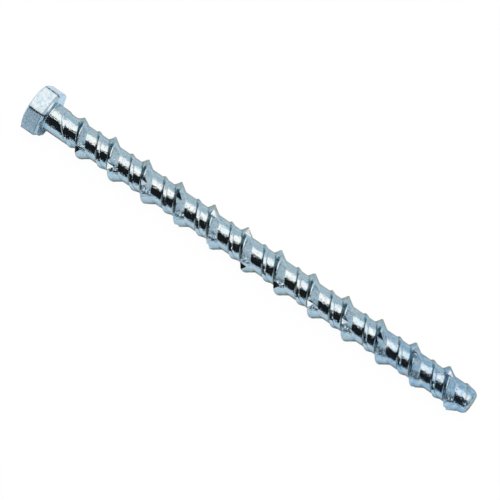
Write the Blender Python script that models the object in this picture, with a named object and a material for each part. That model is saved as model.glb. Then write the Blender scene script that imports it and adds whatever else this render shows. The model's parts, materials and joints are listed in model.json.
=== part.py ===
# Concrete screw, 12 mm nominal by 200 mm: a zinc plated steel hexagon head screw that cuts its own thread in a
# drilled hole. It is one forged and rolled piece. A high ridge with three rows of cutting notches and a low
# ridge between its turns run down the shank as a right-hand helix.
#
# The screw is modelled upright, its axis on local Z, the underside of the head at Z = 0 and the tip at
# Z = LENGTH. It is then laid down on one flat of the head and one crest near the tip, pointing to +X.

import math

import bmesh
import bpy
from mathutils import Matrix, Vector

MM = 0.001

# Head
HEAD_FLATS = 19.0 * MM
HEAD_HEIGHT = 8.0 * MM
HEAD_FACE_RADIUS = 8.8 * MM
CHAMFER_ANGLE = math.radians(26.0)
BEVEL_HEIGHT = 1.1 * MM
BEVEL_WIDTH = 0.7 * MM

# Shank
LENGTH = 200.0 * MM
CORE_RADIUS = 5.3 * MM
NECK_RADIUS = 5.85 * MM
NECK_FILLET = 0.45 * MM
TIP_RADIUS = 3.2 * MM
TIP_ROUNDING = 3.6 * MM

# Thread: one high and one low ridge in each lead. Crest and flank lengths run along the axis. The powers
# give the flanks their hollow.
LEAD = 15.9 * MM
THREAD_PHASE = 5.33 * MM
HIGH_RADIUS = 7.7 * MM
HIGH_CREST = 0.34 * MM
HIGH_HEAD_FLANK = 1.8 * MM
HIGH_TIP_FLANK = 3.35 * MM
HEAD_FLANK_POWER = 1.5
TIP_FLANK_POWER = 1.1
LOW_RADIUS = 5.95 * MM
LOW_CREST = 0.3 * MM
LOW_HEAD_FLANK = 1.15 * MM
LOW_TIP_FLANK = 1.35 * MM
LOW_SHIFT = 0.585 * LEAD

# Run-out of both ridges by the neck and at the tip, as distances from the underside of the head. The rolled
# core starts on a slant: NECK_END is the middle of the slant, and NECK_SLANT and NECK_TURN its reach and angle.
NECK_END = 7.8 * MM
NECK_SLANT = 4.2 * MM
NECK_TURN = math.radians(-35.0)
NECK_STEP = 2.6 * MM
HIGH_START = 1.5 * MM
HIGH_FULL = 15.5 * MM
LOW_START = 6.0 * MM
LOW_FULL = 14.0 * MM
WEAR_START = 150.0 * MM
WEAR_DEPTH = 0.35 * MM
RIDGE_FADE = 192.5 * MM
RIDGE_END = 197.5 * MM

# Cutting notches in the high ridge: three rows. Each starts at its own angle along the ridge and has a notch
# at every NOTCH_STEP from there.
NOTCH_STEP = math.radians(341.5)
NOTCH_ROWS = [math.radians(angle) for angle in (239.0, 352.0, 483.0)]
NOTCH_DEPTH = 1.7 * MM
NOTCH_OPENING = math.radians(100.0)
NOTCH_LAST = 193.0 * MM

# Facets
STEPS_PER_TURN = 24
HEAD_SEGMENTS = 48
SHARP_ANGLE = math.radians(35.0)

# How far a cutter or an inner end reaches past the face that it has to clear
OVERLAP = 1.0 * MM
WELD = 0.01 * MM

ZINC_COLOUR = (0.70, 0.75, 0.80, 1.0)
ZINC_ROUGHNESS = 0.28


def ease(value, start, end):
    """0 before start, 1 after end, with a smooth step between."""
    part = min(max((value - start) / (end - start), 0.0), 1.0)
    return part * part * (3.0 - 2.0 * part)


def new_object(name, bm):
    bmesh.ops.recalc_face_normals(bm, faces=bm.faces)
    mesh = bpy.data.meshes.new(name)
    bm.to_mesh(mesh)
    bm.free()
    obj = bpy.data.objects.new(name, mesh)
    bpy.context.scene.collection.objects.link(obj)
    return obj


def make_helper(name, bm, screw):
    """An object that only shapes the screw: it is carried with it and isn't shown."""
    obj = new_object(name, bm)
    obj.parent = screw
    obj.display_type = "WIRE"
    obj.hide_render = True
    return obj


def add_boolean(obj, other, operation):
    modifier = obj.modifiers.new(f"{operation} {other.name}", "BOOLEAN")
    modifier.operation = operation
    modifier.solver = "EXACT"
    modifier.object = other


def zinc_material():
    material = bpy.data.materials.new("zinc_plated_steel")
    material.use_nodes = True
    shader = material.node_tree.nodes["Principled BSDF"]
    shader.inputs["Base Color"].default_value = ZINC_COLOUR
    shader.inputs["Metallic"].default_value = 1.0
    shader.inputs["Roughness"].default_value = ZINC_ROUGHNESS
    return material


def ridge_points(centre, crest_radius, crest_width, head_flank, tip_flank, head_cuts, tip_cuts):
    """(z, radius) points over one ridge, with a hollow flank on both sides of its crest."""
    height = crest_radius - CORE_RADIUS
    points = []
    for i in range(head_cuts + 1):
        run = 1.0 - i / head_cuts
        left = (1.0 - run) ** HEAD_FLANK_POWER
        points.append((centre - crest_width / 2 - head_flank * run, CORE_RADIUS + height * left))
    for i in range(tip_cuts + 1):
        run = i / tip_cuts
        left = (1.0 - run) ** TIP_FLANK_POWER
        points.append((centre + crest_width / 2 + tip_flank * run, CORE_RADIUS + height * left))
    return points


def thread_profile():
    """One lead of the thread's outline, from the head side foot of one high ridge to that of the next."""
    start = THREAD_PHASE - 2 * LEAD
    points = ridge_points(start, HIGH_RADIUS, HIGH_CREST, HIGH_HEAD_FLANK, HIGH_TIP_FLANK, 3, 4)
    points += ridge_points(start + LOW_SHIFT, LOW_RADIUS, LOW_CREST, LOW_HEAD_FLANK, LOW_TIP_FLANK, 1, 2)
    points.append((points[0][0] + LEAD, points[0][1]))
    return points


def nearest_crest(along, shift):
    """Position of the crest nearest to a point, where along is the point's distance from the helix through Z = 0."""
    first = THREAD_PHASE + shift
    return first + LEAD * round((along - first) / LEAD)


def shaped_radius(vert):
    """The swept radius of a vertex, with the run-outs by the neck and at the tip worked into it."""
    angle = math.atan2(vert.co.y, vert.co.x)
    turned = LEAD * angle / math.tau
    along = vert.co.z - turned
    high = nearest_crest(along, 0.0)
    low = nearest_crest(along, LOW_SHIFT)
    rise = vert.co.xy.length - CORE_RADIUS
    neck_end = NECK_END + NECK_SLANT * math.cos(angle - NECK_TURN)
    base = NECK_RADIUS + (CORE_RADIUS - NECK_RADIUS) * ease(vert.co.z, neck_end, neck_end + NECK_STEP)
    if abs(along - high) < abs(along - low):
        crest = high + turned
        rise *= ease(crest, HIGH_START, HIGH_FULL)
        rise *= 1.0 - WEAR_DEPTH / (HIGH_RADIUS - CORE_RADIUS) * ease(crest, WEAR_START, RIDGE_FADE)
    else:
        crest = low + turned
        rise *= ease(crest, LOW_START, LOW_FULL)
    return base + rise * (1.0 - ease(crest, RIDGE_FADE, RIDGE_END))


def rim_edges(bm, height):
    return [
        edge for edge in bm.edges if edge.is_boundary and all(abs(v.co.z - height) < WELD for v in edge.verts)
    ]


def extend_rim(bm, edges, height, radius_of):
    """Extrudes a rim to a new height. radius_of gives each vertex its new radius from its old one."""
    made = bmesh.ops.extrude_edge_only(bm, edges=edges)["geom"]
    for vert in (item for item in made if isinstance(item, bmesh.types.BMVert)):
        radius = vert.co.xy.length
        vert.co.xy = vert.co.xy * (radius_of(radius) / radius)
        vert.co.z = height
    return [item for item in made if isinstance(item, bmesh.types.BMEdge)]


def cut_off(bm, height, keep_above):
    geometry = list(bm.verts) + list(bm.edges) + list(bm.faces)
    bmesh.ops.bisect_plane(
        bm,
        geom=geometry,
        dist=WELD / 10,
        plane_co=(0.0, 0.0, height),
        plane_no=(0.0, 0.0, 1.0),
        clear_inner=keep_above,
        clear_outer=not keep_above,
    )


def close_neck(bm):
    """The plain neck with its fillet, carried on into the head so that the two solids overlap."""
    edges = rim_edges(bm, 2 * NECK_FILLET)
    for i in range(3):
        angle = math.radians(30.0 * i)
        flare = NECK_FILLET * (1.0 - math.cos(angle))
        height = NECK_FILLET * (1.0 - math.sin(angle))
        edges = extend_rim(bm, edges, height, lambda radius, flare=flare: NECK_RADIUS + flare)
    for depth in (NECK_FILLET / 4, OVERLAP):
        edges = extend_rim(bm, edges, -depth, lambda radius: NECK_RADIUS + NECK_FILLET)
    bmesh.ops.edgenet_fill(bm, edges=edges)


def close_tip(bm):
    """The rounded edge of the tip and its flat end."""
    edges = rim_edges(bm, LENGTH - TIP_ROUNDING)
    for i in range(1, 4):
        angle = math.radians(30.0 * i)
        height = LENGTH - TIP_ROUNDING * (1.0 - math.sin(angle))
        narrowing = (CORE_RADIUS - TIP_RADIUS) * (1.0 - math.cos(angle))
        edges = extend_rim(bm, edges, height, lambda radius, narrowing=narrowing: CORE_RADIUS - narrowing)
    bmesh.ops.edgenet_fill(bm, edges=edges)


def make_shank():
    """Sweeps the thread's outline along the helix, works the run-outs into it, cuts it to length and closes it."""
    bm = bmesh.new()
    verts = [bm.verts.new((radius, 0.0, z)) for z, radius in thread_profile()]
    edges = [bm.edges.new(pair) for pair in zip(verts, verts[1:])]
    turns = math.ceil(LENGTH / LEAD) + 2
    bmesh.ops.spin(
        bm,
        geom=verts + edges,
        axis=(0.0, 0.0, 1.0),
        cent=(0.0, 0.0, 0.0),
        dvec=(0.0, 0.0, LEAD / STEPS_PER_TURN),
        angle=math.tau * turns,
        steps=STEPS_PER_TURN * turns,
    )
    bmesh.ops.remove_doubles(bm, verts=bm.verts, dist=WELD)
    for vert in bm.verts:
        vert.co.xy = vert.co.xy.normalized() * shaped_radius(vert)
    cut_off(bm, 2 * NECK_FILLET, True)
    cut_off(bm, LENGTH - TIP_ROUNDING, False)
    close_neck(bm)
    close_tip(bm)
    bmesh.ops.triangulate(bm, faces=bm.faces)
    return new_object("concrete_screw", bm)


def make_head(screw):
    """A hexagonal prism, one flat towards +X. Its bearing side is bevelled along the flats, its end turned to a chamfer."""
    bm = bmesh.new()
    corner_radius = HEAD_FLATS / math.sqrt(3.0)
    below = Matrix.Translation((0.0, 0.0, -HEAD_HEIGHT - OVERLAP))
    bmesh.ops.create_circle(bm, segments=6, radius=corner_radius, matrix=below)
    edges = list(bm.edges)
    bmesh.ops.edgenet_fill(bm, edges=edges)
    edges = extend_rim(bm, edges, -BEVEL_HEIGHT, lambda radius: radius)
    edges = extend_rim(bm, edges, 0.0, lambda radius: radius - BEVEL_WIDTH * 2.0 / math.sqrt(3.0))
    bmesh.ops.edgenet_fill(bm, edges=edges)
    head = make_helper("head_hexagon", bm, screw)

    reach = corner_radius + OVERLAP - HEAD_FACE_RADIUS
    drop = reach * math.tan(CHAMFER_ANGLE)
    outline = [
        (0.0, -HEAD_HEIGHT),
        (HEAD_FACE_RADIUS, -HEAD_HEIGHT),
        (HEAD_FACE_RADIUS + reach, drop - HEAD_HEIGHT),
        (HEAD_FACE_RADIUS + reach, OVERLAP),
        (0.0, OVERLAP),
    ]
    bm = bmesh.new()
    verts = [bm.verts.new((radius, 0.0, z)) for radius, z in outline]
    edges = [bm.edges.new(pair) for pair in zip(verts, verts[1:])]
    bmesh.ops.spin(
        bm,
        geom=verts + edges,
        axis=(0.0, 0.0, 1.0),
        cent=(0.0, 0.0, 0.0),
        angle=math.tau,
        steps=HEAD_SEGMENTS,
        use_merge=True,
    )
    bmesh.ops.remove_doubles(bm, verts=bm.verts, dist=WELD)
    add_boolean(head, make_helper("head_blank", bm, screw), "INTERSECT")
    return head


def make_notches(screw):
    """All notch cutters in one object: three-sided prisms along the axis, each with one edge towards the core."""
    bm = bmesh.new()
    depth = NOTCH_DEPTH + OVERLAP
    half_width = depth * math.tan(NOTCH_OPENING / 2)
    length = HIGH_HEAD_FLANK + HIGH_TIP_FLANK + 2 * OVERLAP
    # A three-sided prism of radius 1 has an edge 1 from its axis at +Y and the opposite face at 0.5.
    size = Matrix.Diagonal((depth / 1.5, half_width * 2 / math.sqrt(3.0), 1.0, 1.0))
    inward = Matrix.Translation((depth / 1.5, 0.0, 0.0)) @ size @ Matrix.Rotation(math.radians(90.0), 4, "Z")
    last_turn = (NOTCH_LAST - THREAD_PHASE) / LEAD * math.tau
    for start in NOTCH_ROWS:
        for i in range(math.ceil((last_turn - start) / NOTCH_STEP)):
            turn = start + i * NOTCH_STEP
            place = Matrix.Translation((HIGH_RADIUS - NOTCH_DEPTH, 0.0, THREAD_PHASE + LEAD * turn / math.tau))
            around = Matrix.Rotation(turn, 4, "Z") @ place
            bmesh.ops.create_cone(
                bm, cap_ends=True, segments=3, radius1=1.0, radius2=1.0, depth=length, matrix=around @ inward
            )
    return make_helper("notch_cutters", bm, screw)


def lay_down(obj):
    """Turns the screw so that a flat of its head and one crest near the tip rest on Z = 0, over the origin."""
    bpy.context.view_layer.update()
    shape = obj.evaluated_get(bpy.context.evaluated_depsgraph_get()).to_mesh()
    points = [vert.co.copy() for vert in shape.vertices]
    flat = HEAD_FLATS / 2
    foot = max(point.z for point in points if abs(point.x - flat) < WELD)
    tilt = min(math.atan2(flat - point.x, point.z - foot) for point in points if point.z > LENGTH / 2)
    obj.rotation_euler = (0.0, math.pi / 2 + tilt, 0.0)
    turned = [obj.rotation_euler.to_matrix() @ point for point in points]
    low = Vector([min(point[i] for point in turned) for i in range(3)])
    high = Vector([max(point[i] for point in turned) for i in range(3)])
    obj.location = -(low + high) / 2
    obj.location.z = -low.z


def main():
    for obj in list(bpy.data.objects):
        bpy.data.objects.remove(obj, do_unlink=True)
    screw = make_shank()
    add_boolean(screw, make_head(screw), "UNION")
    add_boolean(screw, make_notches(screw), "DIFFERENCE")
    screw.data.materials.append(zinc_material())
    screw.data.shade_smooth()
    screw.data.set_sharp_from_angle(angle=SHARP_ANGLE)
    lay_down(screw)


main()
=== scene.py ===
# Concrete screw, 12 mm by 200 mm, bright zinc plated, lying on a white table.
# It is modelled upright, its axis on Z and the underside of its head at Z = 0, then laid into the CAD part's place.

import json
import math

import bpy
import numpy as np
from mathutils import Matrix, Vector


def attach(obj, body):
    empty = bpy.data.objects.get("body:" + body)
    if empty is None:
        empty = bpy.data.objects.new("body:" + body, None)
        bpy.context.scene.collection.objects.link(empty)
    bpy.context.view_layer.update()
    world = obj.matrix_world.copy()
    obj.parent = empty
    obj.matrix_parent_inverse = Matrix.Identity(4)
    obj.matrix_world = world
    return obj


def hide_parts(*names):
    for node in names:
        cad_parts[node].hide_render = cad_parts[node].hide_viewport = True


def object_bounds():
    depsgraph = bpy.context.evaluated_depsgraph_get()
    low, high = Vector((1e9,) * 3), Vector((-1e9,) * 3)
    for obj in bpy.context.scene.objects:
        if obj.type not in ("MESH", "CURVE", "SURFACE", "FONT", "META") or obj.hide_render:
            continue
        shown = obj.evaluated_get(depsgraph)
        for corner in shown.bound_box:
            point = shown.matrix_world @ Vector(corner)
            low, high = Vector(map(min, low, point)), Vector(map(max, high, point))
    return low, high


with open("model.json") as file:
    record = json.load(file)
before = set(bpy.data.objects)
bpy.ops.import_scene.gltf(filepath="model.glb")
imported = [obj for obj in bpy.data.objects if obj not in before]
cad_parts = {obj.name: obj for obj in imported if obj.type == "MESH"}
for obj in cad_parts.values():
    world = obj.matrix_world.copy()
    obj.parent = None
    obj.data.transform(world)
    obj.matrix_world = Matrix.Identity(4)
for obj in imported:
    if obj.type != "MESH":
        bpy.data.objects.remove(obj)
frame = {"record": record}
cadLow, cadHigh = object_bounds()
print("frame loaded")

mm = 0.001


def toLinear(hexColour):
    values = [int(hexColour[i:i + 2], 16) / 255 for i in (1, 3, 5)]
    return [v / 12.92 if v <= 0.04045 else ((v + 0.055) / 1.055) ** 2.4 for v in values] + [1.0]


# inputs gives a value for each input, or the node or output that feeds it; settings are the node's own properties
def addNode(tree, kind, inputs=None, **settings):
    node = tree.nodes.new(kind)
    for name, value in settings.items():
        setattr(node, name, value)
    for name, value in (inputs or {}).items():
        if isinstance(value, bpy.types.Node):
            value = value.outputs[2 if value.bl_idname == "ShaderNodeMix" and value.data_type == "RGBA" else 0]
        if isinstance(value, bpy.types.NodeSocket):
            tree.links.new(value, node.inputs[name])
        else:
            node.inputs[name].default_value = value
    return node


def selectOnly(obj):
    bpy.ops.object.select_all(action="DESELECT")
    obj.select_set(True)
    bpy.context.view_layer.objects.active = obj


# an outline in the XZ plane, ready for the Screw modifier
def outlineObject(name, outline):
    mesh = bpy.data.meshes.new(name)
    mesh.from_pydata([(r, 0.0, z) for z, r in outline], [(i, i + 1) for i in range(len(outline) - 1)], [])
    obj = bpy.data.objects.new(name, mesh)
    bpy.context.scene.collection.objects.link(obj)
    return obj


def applyModifier(obj, kind, **settings):
    selectOnly(obj)
    modifier = obj.modifiers.new(kind.lower(), kind)
    for name, value in settings.items():
        setattr(modifier, name, value)
    bpy.ops.object.modifier_apply(modifier=modifier.name)


def mergeDoubles(obj):
    selectOnly(obj)
    bpy.ops.object.mode_set(mode="EDIT")
    bpy.ops.mesh.select_all(action="SELECT")
    bpy.ops.mesh.remove_doubles(threshold=0.001 * mm)
    bpy.ops.mesh.select_all(action="SELECT")
    bpy.ops.mesh.dissolve_degenerate(threshold=0.001 * mm)
    bpy.ops.object.mode_set(mode="OBJECT")


def faceOutwards(obj):
    selectOnly(obj)
    bpy.ops.object.mode_set(mode="EDIT")
    bpy.ops.mesh.select_all(action="SELECT")
    bpy.ops.mesh.normals_make_consistent(inside=False)
    bpy.ops.object.mode_set(mode="OBJECT")


def readPoints(obj):
    points = np.empty(len(obj.data.vertices) * 3)
    obj.data.vertices.foreach_get("co", points)
    return points.reshape(-1, 3)


def writePoints(obj, points):
    obj.data.vertices.foreach_set("co", points.ravel())
    obj.data.update()


# 0 before start, 1 after end, with a smooth step between
def ease(value, start, end):
    part = np.clip((value - start) / (end - start), 0.0, 1.0)
    return part * part * (3.0 - 2.0 * part)


# The flanks are hollow where their power is over 1, and full where it is under.
thread = {
    "length": 200.0 * mm,
    "coreRadius": 5.3 * mm,
    "neckRadius": 5.85 * mm,
    "neckFillet": 0.45 * mm,
    "neckEnd": 7.8 * mm,            # middle of the slanted line where the rolled core starts
    "neckSlant": 4.2 * mm,
    "neckTurn": math.radians(-35.0),
    "neckStep": 2.6 * mm,
    "lead": 15.9 * mm,
    "phase": 5.33 * mm,
    "highRadius": 7.7 * mm,
    "highCrest": 0.62 * mm,
    "highHeadFlank": 1.7 * mm,
    "highTipFlank": 3.25 * mm,
    "highPowers": (1.6, 1.03),      # of the head side and tip side flanks
    "highCrown": 0.2 * mm,
    "lowRadius": 5.95 * mm,
    "lowCrest": 0.3 * mm,
    "lowHeadFlank": 0.85 * mm,
    "lowTipFlank": 1.35 * mm,
    "lowPowers": (2.0, 0.55),
    "lowCrown": 0.05 * mm,
    "lowShift": 0.585 * 15.9 * mm,
    "highStart": 1.5 * mm,
    "highFull": 15.5 * mm,
    "lowStart": 6.0 * mm,
    "lowFull": 14.0 * mm,
    "firstTurnPush": 1.2 * mm,      # how far the first turn leans to the tip
    "pushIn": (5.0 * mm, 10.0 * mm),
    "pushOut": (11.0 * mm, 19.0 * mm),
    "wearStart": 150.0 * mm,
    "wearDepth": 0.35 * mm,
    "fade": 192.5 * mm,
    "fadeEnd": 197.5 * mm,
    "tipRadius": 3.2 * mm,
    "tipRounding": 3.6 * mm,
    "steps": 96,                    # facets in a turn
    "highCuts": (7, 6),             # of the head side and tip side flanks
    "lowCuts": (4, 5),
    "floorCuts": (5, 6),            # of the core after the high ridge, and after the low one
}


# (z, radius) over one ridge; kind is "high" or "low"
def ridgeOutline(kind, centre):
    t = thread
    headCuts, tipCuts = t[kind + "Cuts"]
    top, crest, crown = t[kind + "Radius"], t[kind + "Crest"], t[kind + "Crown"]
    headFlank, tipFlank = t[kind + "HeadFlank"], t[kind + "TipFlank"]
    headPower, tipPower = t[kind + "Powers"]
    height = top - crown - t["coreRadius"]
    points = []
    for i in range(headCuts):
        run = i / headCuts
        points.append((centre - crest / 2 - headFlank * (1.0 - run), t["coreRadius"] + height * run ** headPower))
    for across in (-1.0, -0.86, -0.6, -0.2, 0.2, 0.6, 0.86, 1.0):
        points.append((centre + crest / 2 * across, top - crown * abs(across) ** 3))
    for i in range(1, tipCuts + 1):
        left = (1.0 - i / tipCuts) ** (1.0 / min(tipPower, 1.0))
        points.append((centre + crest / 2 + tipFlank * (1.0 - left), t["coreRadius"] + height * left ** tipPower))
    return points


# one lead, from the head side foot of one high ridge to that of the next
def threadOutline():
    t = thread
    start = t["phase"] - 2 * t["lead"]
    high = ridgeOutline("high", start)
    low = ridgeOutline("low", start + t["lowShift"])
    end = high[0][0] + t["lead"]
    points = []
    for ridge, following, cuts in ((high, low[0][0], t["floorCuts"][0]), (low, end, t["floorCuts"][1])):
        foot = ridge[-1][0]
        points += ridge
        points += [(foot + (following - foot) * i / cuts, t["coreRadius"]) for i in range(1, cuts)]
    points.append((end, t["coreRadius"]))
    return points


def nearestCrest(along, shift):
    first = thread["phase"] + shift
    return first + thread["lead"] * np.round((along - first) / thread["lead"])


# works the run-outs by the neck and at the tip into the swept ridges
def shapeThread(obj):
    t = thread
    points = readPoints(obj)
    radius = np.hypot(points[:, 0], points[:, 1])
    angle = np.arctan2(points[:, 1], points[:, 0])
    z = points[:, 2]
    turned = t["lead"] * angle / math.tau
    along = z - turned
    high = nearestCrest(along, 0.0)
    low = nearestCrest(along, t["lowShift"])
    isHigh = np.abs(along - high) < np.abs(along - low)
    crest = np.where(isHigh, high, low) + turned
    wear = 1.0 - t["wearDepth"] / (t["highRadius"] - t["coreRadius"]) * ease(crest, t["wearStart"], t["fade"])
    rise = (radius - t["coreRadius"]) * np.where(
        isHigh, ease(crest, t["highStart"], t["highFull"]) * wear, ease(crest, t["lowStart"], t["lowFull"])
    )
    z = z + t["firstTurnPush"] * ease(z, *t["pushIn"]) * (1.0 - ease(z, *t["pushOut"]))
    neckEnd = t["neckEnd"] + t["neckSlant"] * np.cos(angle - t["neckTurn"])
    base = t["neckRadius"] + (t["coreRadius"] - t["neckRadius"]) * ease(z, neckEnd, neckEnd + t["neckStep"])
    radius = base + rise * (1.0 - ease(crest, t["fade"], t["fadeEnd"]))
    top, foot = 2 * t["neckFillet"], t["length"] - t["tipRounding"]
    z = np.clip(z, top, foot)
    radius = np.where(z <= top, t["neckRadius"], np.where(z >= foot, t["coreRadius"], radius))
    writePoints(obj, np.column_stack([np.cos(angle) * radius, np.sin(angle) * radius, z]))


# selects the open rims at the given heights and goes into edit mode
def selectRims(obj, heights):
    selectOnly(obj)
    bpy.ops.object.mode_set(mode="EDIT")
    bpy.ops.mesh.select_mode(type="EDGE")
    bpy.ops.mesh.select_all(action="DESELECT")
    bpy.ops.mesh.select_non_manifold()
    bpy.ops.object.mode_set(mode="OBJECT")
    mesh = obj.data
    for edge in mesh.edges:
        ends = [mesh.vertices[v].co.z for v in edge.vertices]
        edge.select = edge.select and any(all(abs(z - height) < 0.001 * mm for z in ends) for height in heights)
    rim = {v for edge in mesh.edges if edge.select for v in edge.vertices}
    for vertex in mesh.vertices:
        vertex.select = vertex.index in rim
    for face in mesh.polygons:
        face.select = False
    bpy.ops.object.mode_set(mode="EDIT")


def makeShank():
    t = thread
    obj = outlineObject("shank", threadOutline())
    turns = math.ceil(t["length"] / t["lead"]) + 3
    applyModifier(
        obj, "SCREW", screw_offset=t["lead"], iterations=turns, steps=t["steps"], render_steps=t["steps"],
        use_merge_vertices=False, use_smooth_shade=False,
    )
    mergeDoubles(obj)
    shapeThread(obj)
    mergeDoubles(obj)
    return obj


# the rounded end of the tip, ring by ring, and its flat face
def closeTip(shank):
    t = thread
    height = t["length"] - t["tipRounding"]
    radius = t["coreRadius"]
    selectRims(shank, [height])
    for i in range(1, 10):
        turn = math.radians(10.0 * i)
        newHeight = t["length"] - t["tipRounding"] * (1.0 - math.sin(turn))
        newRadius = t["coreRadius"] - (t["coreRadius"] - t["tipRadius"]) * (1.0 - math.cos(turn))
        bpy.ops.mesh.extrude_region_move(TRANSFORM_OT_translate={"value": (0.0, 0.0, newHeight - height)})
        size = newRadius / radius
        bpy.ops.transform.resize(value=(size, size, 1.0), center_override=(0.0, 0.0, newHeight))
        height, radius = newHeight, newRadius
    bpy.ops.mesh.edge_face_add()
    bpy.ops.object.mode_set(mode="OBJECT")


head = {
    "flats": 19.0 * mm,
    "height": 8.0 * mm,
    "faceRadius": 8.8 * mm,
    "chamfer": math.radians(26.0),  # turned on the end of the head
    "bevelHeight": 1.1 * mm,        # straight along the flats on the bearing side
    "bevelWidth": 0.7 * mm,
    "blankRadius": 12.0 * mm,
    "cornerPower": 60,              # gives the upright corners a radius of about 0.8 mm
    "edgeRounding": 0.07 * mm,
    "rimRounding": 0.16 * mm,
    "steps": 288,                   # three to each of the shank's, so that the two rims bridge evenly
    "draw": 0.13,                   # draws facets to the corners, by this many radians at most
    "drawn": (7.5 * mm, 8.6 * mm),  # the radii where that comes in
    "wornCorner": 0.5 * mm,         # half widths of the wear along the corners and the bevel
    "wornBevel": 0.2 * mm,
    "bevelWear": 0.55,
    "wornFrom": 9.0 * mm,           # no wear nearer the axis
}


# the turned blank, from the middle of the end face to the rim at the neck; its rings are closest where edges come
def headOutline():
    h = head
    reach = h["blankRadius"] - h["faceRadius"]
    outline = [(-h["height"], share * h["faceRadius"]) for share in (0.0, 0.4, 0.75, 0.93, 0.985)]
    for i in range(27):
        out = reach * i / 26
        outline.append((out * math.tan(h["chamfer"]) - h["height"], h["faceRadius"] + out))
    outline += [(-z * mm, h["blankRadius"]) for z in (5.6, 4.6, 3.4, 2.4, 1.7)]
    outline += [(-h["bevelHeight"] + 0.06 * mm * i, h["blankRadius"]) for i in range(-5, 6)]
    outline += [(-z * mm, h["blankRadius"]) for z in (0.6, 0.4, 0.25)]
    outline += [(-h["rimRounding"] * share, h["blankRadius"]) for share in (1.0, 0.7, 0.42, 0.2, 0.06, 0.0)]
    fillet, neck = thread["neckFillet"], thread["neckRadius"]
    outline += [(0.0, r) for r in (8.2 * mm, 7.4 * mm, neck + 1.3 * fillet)]
    for i in range(7):
        turn = math.radians(15.0 * i)
        outline.append((fillet * (1.0 - math.cos(turn)), neck + fillet * (1.0 - math.sin(turn))))
    return outline


# spins the blank, then presses its side to the rounded and bevelled hexagon
def makeHead():
    h = head
    obj = outlineObject("head", headOutline())
    applyModifier(obj, "SCREW", steps=h["steps"], render_steps=h["steps"], use_smooth_shade=False)
    mergeDoubles(obj)
    points = readPoints(obj)
    radius = np.hypot(points[:, 0], points[:, 1])
    angle = np.arctan2(points[:, 1], points[:, 0])
    z = points[:, 2]
    angle = angle + h["draw"] * ease(radius, *h["drawn"]) * np.sin(6.0 * angle)
    total = np.zeros(len(points))
    for i in range(6):
        total += np.maximum(np.cos(angle - math.radians(60.0 * i)), 0.0) ** h["cornerPower"]
    soft = h["edgeRounding"]
    bevel = h["bevelWidth"] / h["bevelHeight"] * soft * np.log1p(np.exp((z + h["bevelHeight"]) / soft))
    past = np.clip(z / h["rimRounding"] + 1.0, 0.0, 1.0)
    bevel += h["rimRounding"] * (1.0 - np.sqrt(1.0 - past ** 2))
    hexagon = (h["flats"] / 2 - bevel) * total ** (-1.0 / h["cornerPower"])
    apart = np.clip((radius - hexagon) / soft, -40.0, 40.0)
    pressed = np.where(radius > 0.99 * h["faceRadius"], radius - soft * np.log1p(np.exp(apart)), radius)
    writePoints(obj, np.column_stack([np.cos(angle) * pressed, np.sin(angle) * pressed, z]))
    return obj


def joinHead(shank, headPiece):
    selectOnly(shank)
    headPiece.select_set(True)
    bpy.ops.object.join()
    selectRims(shank, [thread["neckFillet"], 2 * thread["neckFillet"]])
    bpy.ops.mesh.bridge_edge_loops()
    bpy.ops.object.mode_set(mode="OBJECT")


# Each row of notches runs along the high ridge from its own first notch; turns are in degrees.
notches = {
    "rows": ((244.0, 340.7), (344.5, 343.0), (485.0, 341.5)),     # the first notch, and the step to the next
    "depth": 1.35 * mm,
    "lowerSlope": 62.0,             # degrees from the radius to each wall
    "upperSlope": 57.0,
    "last": 193.0 * mm,
    "width": 7.4 * mm,              # of the cutter, along the screw
    "over": 0.8 * mm,               # how far it stands out of the ridge
}


# one wedge, its edge at the origin and pointing to the axis, from a three-sided cylinder
def makeNotchCutter():
    n = notches
    bpy.ops.object.select_all(action="DESELECT")
    bpy.ops.mesh.primitive_cylinder_add(vertices=3, radius=1.0 * mm, depth=n["width"], location=(0.0, 0.0, 0.0))
    cutter = bpy.context.active_object
    rise = n["depth"] + n["over"]
    corners = [
        (0.0, 0.0),
        (rise, -rise * math.tan(math.radians(n["lowerSlope"]))),
        (rise, rise * math.tan(math.radians(n["upperSlope"]))),
    ]
    start = cutter.data.vertices[0].co.xy
    for vertex in cutter.data.vertices:
        around = round(math.degrees(start.angle_signed(vertex.co.xy)) / 120.0) % 3
        vertex.co.x, vertex.co.y = corners[around]
    return cutter


def cutNotches(shank):
    t, n = thread, notches
    model = makeNotchCutter()
    lastTurn = (n["last"] - t["phase"]) / t["lead"] * 360.0
    copies = []
    for turn, step in n["rows"]:
        while turn < lastTurn:
            copy = model.copy()
            copy.data = model.data.copy()
            place = Matrix.Translation((t["highRadius"] - n["depth"], 0.0, t["phase"] + t["lead"] * turn / 360.0))
            copy.data.transform(Matrix.Rotation(math.radians(turn), 4, "Z") @ place)
            bpy.context.scene.collection.objects.link(copy)
            copies.append(copy)
            turn += step
    bpy.data.objects.remove(model)
    selectOnly(copies[0])
    for copy in copies:
        copy.select_set(True)
    bpy.ops.object.join()
    cutters = bpy.context.active_object
    faceOutwards(cutters)
    applyModifier(shank, "BOOLEAN", operation="DIFFERENCE", solver="EXACT", object=cutters)
    bpy.data.objects.remove(cutters)


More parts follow.
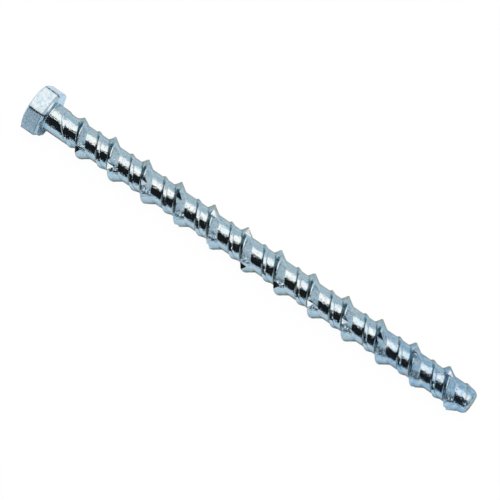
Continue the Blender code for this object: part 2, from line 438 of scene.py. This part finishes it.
# an attribute for the finish: 1 along the corners of the head, and half along its bevel, where the plating is worn
def markWear(obj):
    h = head
    points = readPoints(obj)
    radius = np.hypot(points[:, 0], points[:, 1])
    angle = np.degrees(np.arctan2(points[:, 1], points[:, 0]))
    offCorner = np.radians(np.abs((angle % 60.0) - 30.0)) * radius
    offBevel = np.abs(points[:, 2] + h["bevelHeight"])
    onCorner = np.exp(-(offCorner / h["wornCorner"]) ** 2)
    onBevel = h["bevelWear"] * np.exp(-(offBevel / h["wornBevel"]) ** 2)
    wear = np.maximum(onCorner, onBevel) * (points[:, 2] < 0.0) * (radius > h["wornFrom"])
    layer = obj.data.attributes.new("wear", "FLOAT", "POINT")
    layer.data.foreach_set("value", wear)


# carries the screw into the place that the CAD part's own end face and resting flat give
def layDown(obj):
    mounts = {mount["name"]: mount for mount in frame["record"]["mounts"]}
    axis = -Vector(mounts["head_end_face"]["axis"]).normalized()
    down = Vector(mounts["resting_flat"]["axis"]).normalized()
    move = Matrix((down, axis.cross(down), axis)).transposed().to_4x4()
    move.translation = Vector(mounts["head_end_face"]["pos_m"]) + axis * head["height"]
    obj.data.transform(move)
    margin = 0.002 * mm
    writePoints(obj, np.clip(readPoints(obj), np.array(cadLow) + margin, np.array(cadHigh) - margin))
    return move


screw = makeShank()
closeTip(screw)
print("shank made")
joinHead(screw, makeHead())
print("head made")
cutNotches(screw)
print("notches cut")
faceOutwards(screw)
headFaces = [face.index for face in screw.data.polygons if face.center.z < 0.05 * mm]
markWear(screw)
toWorld = layDown(screw)
screw.name = "zinc_screw"
bpy.ops.object.shade_smooth_by_angle(angle=math.radians(25.0))
print("screw laid down:", len(screw.data.polygons), "faces")


# Sizes of the patterns are in millimetres, and a range is the part of a noise that is drawn.
zinc = {
    "colour": "#A6BDCE",
    "tipColour": "#85A9CA",
    "towardsTip": (120.0, 196.0),   # along the screw, where the one gives way to the other
    "cloudColour": "#B6C6CB",
    "cloud": 2.2,
    "cloudRange": (0.42, 0.72),
    "speck": 0.7,
    "cyanSpeck": "#86C6D2",
    "cyanRange": (0.56, 0.66),
    "cyanShare": 0.8,
    "darkSpeck": "#5F6470",
    "darkRange": (0.38, 0.30),
    "darkShare": 0.7,
    "edgeColour": "#B4AC94",        # of reflections near the outline, where zinc darkens
    "paintedFlankShade": "#424C50",        # painted shade over the head side flanks, darkest by their feet
    "paintedFlankShadeShare": 0.28,
    "rootStart": (11.0, 17.0),      # along the screw, where they come in
    "highRoot": (0.25, 0.15, 0.6),  # their middle past the ridge's foot, and how far off it they are full and gone
    "lowRoot": (0.35, 0.15, 0.65),
    "haze": 1.6,
    "hazeRange": (0.3, 0.75),
    "shankRoughness": (0.06, 0.15),
    "tipRoughness": 0.09,           # added at the tip
    "wave": 3.5,                    # the slow unevenness that rolling leaves
    "waveDepth": 0.02,
    "grain": 0.9,                   # the orange peel of the rolled and plated shank
    "grainDepth": 0.15,
    "grit": 0.4,
    "gritDepth": 0.04,
    "groove": 0.16,                 # depth of the line that the thread rolls leave round the neck
    "grooveWidth": 0.32,            # of each of its two sides
    "groovePast": 0.8,              # past the middle of the slanted line
    "headColour": "#B2CADA",
    "headCloudColour": "#95B7C9",
    "headCloud": 1.3,
    "headCloudRange": (0.4, 0.68),
    "headSpeck": 0.9,
    "headDarkRange": (0.34, 0.27),
    "headDarkShare": 0.7,
    "wornEdge": "#3C4347",
    "wornRange": (0.3, 0.6),        # frays the worn edges
    "wornShare": (1.3, 0.5),
    "headHazeRange": (0.3, 0.7),
    "headRoughness": (0.24, 0.42),
    "headGrain": 0.45,
    "headGrainDepth": 0.065,
}


# The next six are short forms of addNode.
def blend(tree, share, first, second):
    return addNode(tree, "ShaderNodeMix", {0: share, 6: first, 7: second}, data_type="RGBA")


def calculate(tree, operation, *values, **settings):
    return addNode(tree, "ShaderNodeMath", dict(enumerate(values)), operation=operation, **settings)


def noise(tree, where, size, detail):
    return addNode(tree, "ShaderNodeTexNoise", {"Vector": where, "Scale": 1 / size, "Detail": detail})


# carries the span to the result
def remap(tree, value, span, result=(0.0, 1.0), **settings):
    inputs = {0: value, 1: span[0], 2: span[1], 3: result[0], 4: result[1]}
    return addNode(tree, "ShaderNodeMapRange", inputs, **settings)


def smoothStep(tree, value, span, result=(0.0, 1.0)):
    return remap(tree, value, span, result, interpolation_type="SMOOTHSTEP")


# a bump of the given depth in millimetres, over the ones below it
def bump(tree, height, depth, below=None):
    inputs = {"Height": height, "Strength": 1.0, "Distance": depth * mm}
    if below:
        inputs["Normal"] = below
    return addNode(tree, "ShaderNodeBump", inputs)


def newMetal(name):
    material = bpy.data.materials.new(name)
    material.use_nodes = True
    tree = material.node_tree
    shader = tree.nodes["Principled BSDF"]
    shader.inputs["Metallic"].default_value = 1.0
    return material, tree, shader


# the screw's own upright coordinates in millimetres: Z runs along the axis from under the head
def screwSpace(tree):
    back = toWorld.inverted()
    place = addNode(tree, "ShaderNodeTexCoord").outputs["Object"]
    inputs = {"Vector": place, "Rotation": back.to_euler(), "Location": back.translation}
    upright = addNode(tree, "ShaderNodeMapping", inputs)
    return addNode(tree, "ShaderNodeVectorMath", {0: upright, "Scale": 1 / mm}, operation="SCALE")


# 1 along the head side flanks of both ridges, where shade is painted into the colour, fading to the crests and to the
# neck
def paintedFlankShadeMask(tree, where):
    t = thread
    lead = t["lead"] / mm
    parts = addNode(tree, "ShaderNodeSeparateXYZ", {0: where}).outputs
    turned = calculate(tree, "ARCTAN2", parts["Y"], parts["X"])
    along = calculate(tree, "MULTIPLY_ADD", turned, -lead / math.tau, parts["Z"])
    masks = []
    for kind, shift in (("high", 0.0), ("low", t["lowShift"])):
        middle, full, gone = zinc[kind + "Root"]
        foot = (t["phase"] + shift - t[kind + "Crest"] / 2 - t[kind + "HeadFlank"]) / mm
        past = calculate(tree, "SUBTRACT", along, foot + middle)
        past = calculate(tree, "WRAP", past, lead / 2, -lead / 2)
        masks.append(smoothStep(tree, calculate(tree, "ABSOLUTE", past), (full, gone), (1.0, 0.0)))
    either = calculate(tree, "MAXIMUM", *masks)
    return calculate(tree, "MULTIPLY", either, smoothStep(tree, parts["Z"], zinc["rootStart"]))


# Electroplated zinc with a clear blue passivation over a rolled thread: bright, nearly a mirror, with a fine
# orange peel that frays the edges of its reflections.
def shankFinish():
    z = zinc
    material, tree, shader = newMetal("bright_zinc_plate")
    where = screwSpace(tree)
    along = addNode(tree, "ShaderNodeSeparateXYZ", {0: where}).outputs["Z"]
    toTip = smoothStep(tree, along, z["towardsTip"])
    colour = blend(tree, toTip, toLinear(z["colour"]), toLinear(z["tipColour"]))
    cloud = remap(tree, noise(tree, where, z["cloud"], 3.0), z["cloudRange"])
    colour = blend(tree, cloud, colour, toLinear(z["cloudColour"]))
    specks = noise(tree, where, z["speck"], 2.0)
    cyan = remap(tree, specks, z["cyanRange"], (0.0, z["cyanShare"]))
    colour = blend(tree, cyan, colour, toLinear(z["cyanSpeck"]))
    dark = remap(tree, specks, z["darkRange"], (0.0, z["darkShare"]))
    colour = blend(tree, dark, colour, toLinear(z["darkSpeck"]))
    # painted shade: darkens the colour along the head side flanks
    root = calculate(tree, "MULTIPLY", paintedFlankShadeMask(tree, where), z["paintedFlankShadeShare"])
    colour = blend(tree, root, colour, toLinear(z["paintedFlankShade"]))
    tree.links.new(colour.outputs[2], shader.inputs["Base Color"])
    shader.inputs["Specular Tint"].default_value = toLinear(z["edgeColour"])
    haze = remap(tree, noise(tree, where, z["haze"], 3.0), z["hazeRange"], z["shankRoughness"])
    rough = calculate(tree, "MULTIPLY_ADD", toTip, z["tipRoughness"], haze)
    tree.links.new(rough.outputs[0], shader.inputs["Roughness"])
    normal = bump(tree, noise(tree, where, z["wave"], 1.0), z["waveDepth"])
    normal = bump(tree, noise(tree, where, z["grain"], 2.0), z["grainDepth"], normal)
    normal = bump(tree, noise(tree, where, z["grit"], 1.0), z["gritDepth"], normal)
    # the groove follows the slanted start of the rolled core
    turn, radius = thread["neckTurn"], thread["neckRadius"]
    slope = thread["neckSlant"] / radius
    plane = (-slope * math.cos(turn), -slope * math.sin(turn), 1.0)
    past = addNode(tree, "ShaderNodeVectorMath", {0: where, 1: plane}, operation="DOT_PRODUCT").outputs["Value"]
    past = calculate(tree, "SUBTRACT", past, thread["neckEnd"] / mm + z["groovePast"])
    groove = smoothStep(tree, calculate(tree, "ABSOLUTE", past), (0.0, z["grooveWidth"]))
    normal = bump(tree, groove, z["groove"], normal)
    tree.links.new(normal.outputs[0], shader.inputs["Normal"])
    return material


# The same plating on the forged head, which the die and handling leave frosted.
def headFinish():
    z = zinc
    material, tree, shader = newMetal("frosted_zinc_plate")
    where = screwSpace(tree)
    cloud = remap(tree, noise(tree, where, z["headCloud"], 3.0), z["headCloudRange"])
    colour = blend(tree, cloud, toLinear(z["headColour"]), toLinear(z["headCloudColour"]))
    specks = noise(tree, where, z["headSpeck"], 2.0)
    dark = remap(tree, specks, z["headDarkRange"], (0.0, z["headDarkShare"]))
    colour = blend(tree, dark, colour, toLinear(z["darkSpeck"]))
    ragged = remap(tree, specks, z["wornRange"], z["wornShare"])
    worn = addNode(tree, "ShaderNodeAttribute", attribute_name="wear").outputs["Fac"]
    worn = calculate(tree, "MULTIPLY", worn, ragged, use_clamp=True)
    colour = blend(tree, worn, colour, toLinear(z["wornEdge"]))
    tree.links.new(colour.outputs[2], shader.inputs["Base Color"])
    haze = remap(tree, specks, z["headHazeRange"], z["headRoughness"])
    tree.links.new(haze.outputs[0], shader.inputs["Roughness"])
    normal = bump(tree, noise(tree, where, z["headGrain"], 3.0), z["headGrainDepth"])
    tree.links.new(normal.outputs[0], shader.inputs["Normal"])
    return material


screw.data.materials.clear()
screw.data.materials.append(shankFinish())
screw.data.materials.append(headFinish())
for index in headFaces:
    screw.data.polygons[index].material_index = 1
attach(screw, "root")
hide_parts("concrete_screw")
print("finishes made")


# Each pair of numbers is the place of a change and its width. Tilts are in degrees from the zenith, minus towards
# the viewer; the other places are parts of the direction's unit vector, plus towards the screw's tip, the back and up.
# Levels are strengths, where 1 is white.
studio = {
    "softboxFront": (-18.5, 2.5),
    "softboxBack": (33.5, 4.0),
    "softboxHeadEnd": (-0.80, 0.06),
    "softboxTipEnd": (0.67, 0.06),
    "softbox": (2.25, 1.78, 1.55, 1.0),
    "room": 0.02,
    "roomHeadEnd": (-0.88, 0.16),
    "roomTipEnd": (0.76, 0.12),
    "roomWidens": (-38.0, 40.0),    # the tilt below which the room reaches further to the tip's side
    "roomWider": 0.24,
    "headWall": "#7FA3AD",
    "backWall": "#F2F4F4",
    "backWallStart": (-0.45, 0.3),
    "tipWall": "#E6E8E9",
    "tipWallStart": (0.74, 0.1),
    "skirting": "#5E666B",          # the foot of that wall
    "skirtingTop": (0.16, 0.16),
    "horizon": "#4A4038",           # a dim strip low behind the screw, to the right
    "horizonStart": (0.5, 0.1),
    "horizonTop": (0.10, 0.05),
    "horizonFront": (0.05, 0.1),
    "paper": "#E2F1FC",
    "paintedFloorShade": "#3A3C40",             # painted shade: a dark band on the table in front of the paper, standing in for unlit floor, seen mostly in the metal
    "paintedShadeEnd": (-0.19, -0.11),     # metres, minus towards the viewer: all painted shade, and all paper
    "tableSeen": 0.975,             # the table's own light, to the camera and in the metal
    "tableInMetal": 0.05,
}


def makeTable():
    s = studio
    bpy.ops.object.select_all(action="DESELECT")
    bpy.ops.mesh.primitive_plane_add(size=8.0, location=(0.0, 0.0, 0.0))
    table = bpy.context.active_object
    table.name = "table"
    material = bpy.data.materials.new("white_paper_with_painted_shade")     # uncoated paper, matt and a little blue, with painted shade further towards the viewer
    material.use_nodes = True
    tree = material.node_tree
    tree.nodes.remove(tree.nodes["Principled BSDF"])
    place = addNode(tree, "ShaderNodeTexCoord").outputs["Object"]
    back = addNode(tree, "ShaderNodeSeparateXYZ", {0: place}).outputs["Y"]
    # painted shade: the table's colour turns dark towards the viewer
    colour = blend(tree, smoothStep(tree, back, s["paintedShadeEnd"]), toLinear(s["paintedFloorShade"]), toLinear(s["paper"]))
    paper = addNode(tree, "ShaderNodeBsdfDiffuse", {"Color": colour})
    glow = addNode(tree, "ShaderNodeEmission", {"Strength": 1.0})
    rays = addNode(tree, "ShaderNodeLightPath").outputs
    seen = calculate(tree, "MULTIPLY", rays["Is Camera Ray"], s["tableSeen"])
    seen = calculate(tree, "MULTIPLY_ADD", rays["Is Glossy Ray"], s["tableInMetal"], seen)
    seen = calculate(tree, "MULTIPLY_ADD", rays["Is Transmission Ray"], s["tableSeen"], seen)
    mix = addNode(tree, "ShaderNodeMixShader", {0: seen, 1: paper, 2: glow})
    tree.links.new(mix.outputs[0], tree.nodes["Material Output"].inputs["Surface"])
    table.data.materials.append(material)


# A soft studio: a large softbox overhead, pale walls behind and at the ends, and an unlit room on the viewer's side.
def makeWorld():
    s = studio
    world = bpy.data.worlds.new("studio")
    bpy.context.scene.world = world
    world.use_nodes = True
    tree = world.node_tree
    tree.nodes.clear()
    place = addNode(tree, "ShaderNodeTexCoord").outputs["Generated"]
    parts = addNode(tree, "ShaderNodeSeparateXYZ", {0: place}).outputs
    tilt = calculate(tree, "DEGREES", calculate(tree, "ARCTAN2", parts["Y"], parts["Z"]))

    # 0 before the named change and 1 past it
    def over(value, name):
        middle, width = s[name]
        return smoothStep(tree, value, (middle - width / 2, middle + width / 2))

    def both(mask, other):
        return calculate(tree, "MULTIPLY", mask, other)

    # the product of two masks, the second one turned round
    def without(mask, other):
        return both(mask, calculate(tree, "SUBTRACT", 1.0, other))

    front = over(tilt, "softboxFront")
    overhead = without(front, over(tilt, "softboxBack"))
    reach = without(over(parts["X"], "softboxHeadEnd"), over(parts["X"], "softboxTipEnd"))
    softbox = both(overhead, reach)
    wider = calculate(tree, "MULTIPLY_ADD", over(tilt, "roomWidens"), s["roomWider"], -s["roomWider"])
    aside = calculate(tree, "ADD", parts["X"], wider)
    room = without(calculate(tree, "SUBTRACT", 1.0, front), over(aside, "roomTipEnd"))
    room = both(room, over(parts["X"], "roomHeadEnd"))
    level = blend(tree, over(parts["X"], "backWallStart"), toLinear(s["headWall"]), toLinear(s["backWall"]))
    tipWall = over(parts["X"], "tipWallStart")
    level = blend(tree, tipWall, level, toLinear(s["tipWall"]))
    level = blend(tree, without(tipWall, over(parts["Z"], "skirtingTop")), level, toLinear(s["skirting"]))
    level = blend(tree, room, level, (s["room"], s["room"], s["room"], 1.0))
    level = blend(tree, softbox, level, s["softbox"])
    strip = without(over(parts["X"], "horizonStart"), over(parts["Z"], "horizonTop"))
    strip = both(strip, over(parts["Y"], "horizonFront"))
    level = blend(tree, strip, level, toLinear(s["horizon"]))
    lit = addNode(tree, "ShaderNodeBackground", {"Color": level, "Strength": 1.0})
    white = addNode(tree, "ShaderNodeBackground", {"Color": (1.0, 1.0, 1.0, 1.0), "Strength": 1.0})
    rays = addNode(tree, "ShaderNodeLightPath").outputs
    mix = addNode(tree, "ShaderNodeMixShader", {0: rays["Is Camera Ray"], 1: lit, 2: white})
    addNode(tree, "ShaderNodeOutputWorld", {"Surface": mix})


# The top lamp lights the paper and gives the screw its shadow; the metal shows the world's softbox instead.
# The side card is small and stands at the viewer's right, where the feet of the thread's flanks show it.
# Places and sizes are in metres, and powers in watts.
lamps = {
    "top_lamp": {"place": (0.0, -0.05, 1.55), "size": (0.7, 0.5), "power": 9.3, "inMetal": False},
    "side_card": {"place": (0.24, -0.167, 0.112), "size": (0.075, 0.06), "power": 0.042, "inMetal": True},
}


def makeLamps():
    for name, lamp in lamps.items():
        turn = (-Vector(lamp["place"])).to_track_quat("-Z", "Y").to_euler()
        bpy.ops.object.select_all(action="DESELECT")
        bpy.ops.object.light_add(type="AREA", location=lamp["place"], rotation=turn)
        obj = bpy.context.active_object
        obj.name = name
        obj.data.shape = "RECTANGLE"
        obj.data.size, obj.data.size_y = lamp["size"]
        obj.data.energy = lamp["power"]
        obj.visible_camera = False
        obj.visible_glossy = lamp["inMetal"]


# The photograph's view: a long lens that looks down on the screw from the viewer's side. Angles are in degrees.
view = {
    "slope": 34.389,                # how far the screw slopes down in the picture
    "down": 68.636,                 # how far the view turns about the screw
    "along": 10.243,                # and towards the tip
    "roll": 0.21,
    "right": 0.169 * mm,
    "up": -1.197 * mm,
    "scale": 2.579,                 # pixels in a millimetre at the screw
    "picture": 500,                 # pixels
    "distance": 1400.0 * mm,
    "aimHeight": 8.0 * mm,          # of the point over the table that the view turns about
}


def makeCamera():
    v = view
    down, along = math.radians(v["down"]), math.radians(v["along"])
    axes = Matrix((
        (math.cos(along), 0.0, math.sin(along)),
        (math.cos(down) * math.sin(along), math.sin(down), -math.cos(down) * math.cos(along)),
        (-math.sin(down) * math.sin(along), math.cos(down), math.sin(down) * math.cos(along)),
    )).transposed()
    turn = Matrix.Rotation(math.radians(v["roll"] - v["slope"]), 3, "Z") @ axes
    offset = Vector((v["right"], v["up"], -v["distance"])) - turn @ Vector((0.0, 0.0, v["aimHeight"]))
    data = bpy.data.cameras.new("camera")
    data.sensor_width = 36.0
    data.lens = v["scale"] * v["distance"] / mm * data.sensor_width / v["picture"]
    data.clip_start, data.clip_end = 0.05, 20.0
    camera = bpy.data.objects.new("camera", data)
    camera.matrix_world = Matrix.Translation(-(turn.transposed() @ offset)) @ turn.transposed().to_4x4()
    bpy.context.scene.collection.objects.link(camera)
    bpy.context.scene.camera = camera


makeTable()
makeWorld()
makeLamps()
makeCamera()
bpy.context.scene.view_settings.view_transform = "Standard"
print("table, light and camera made")
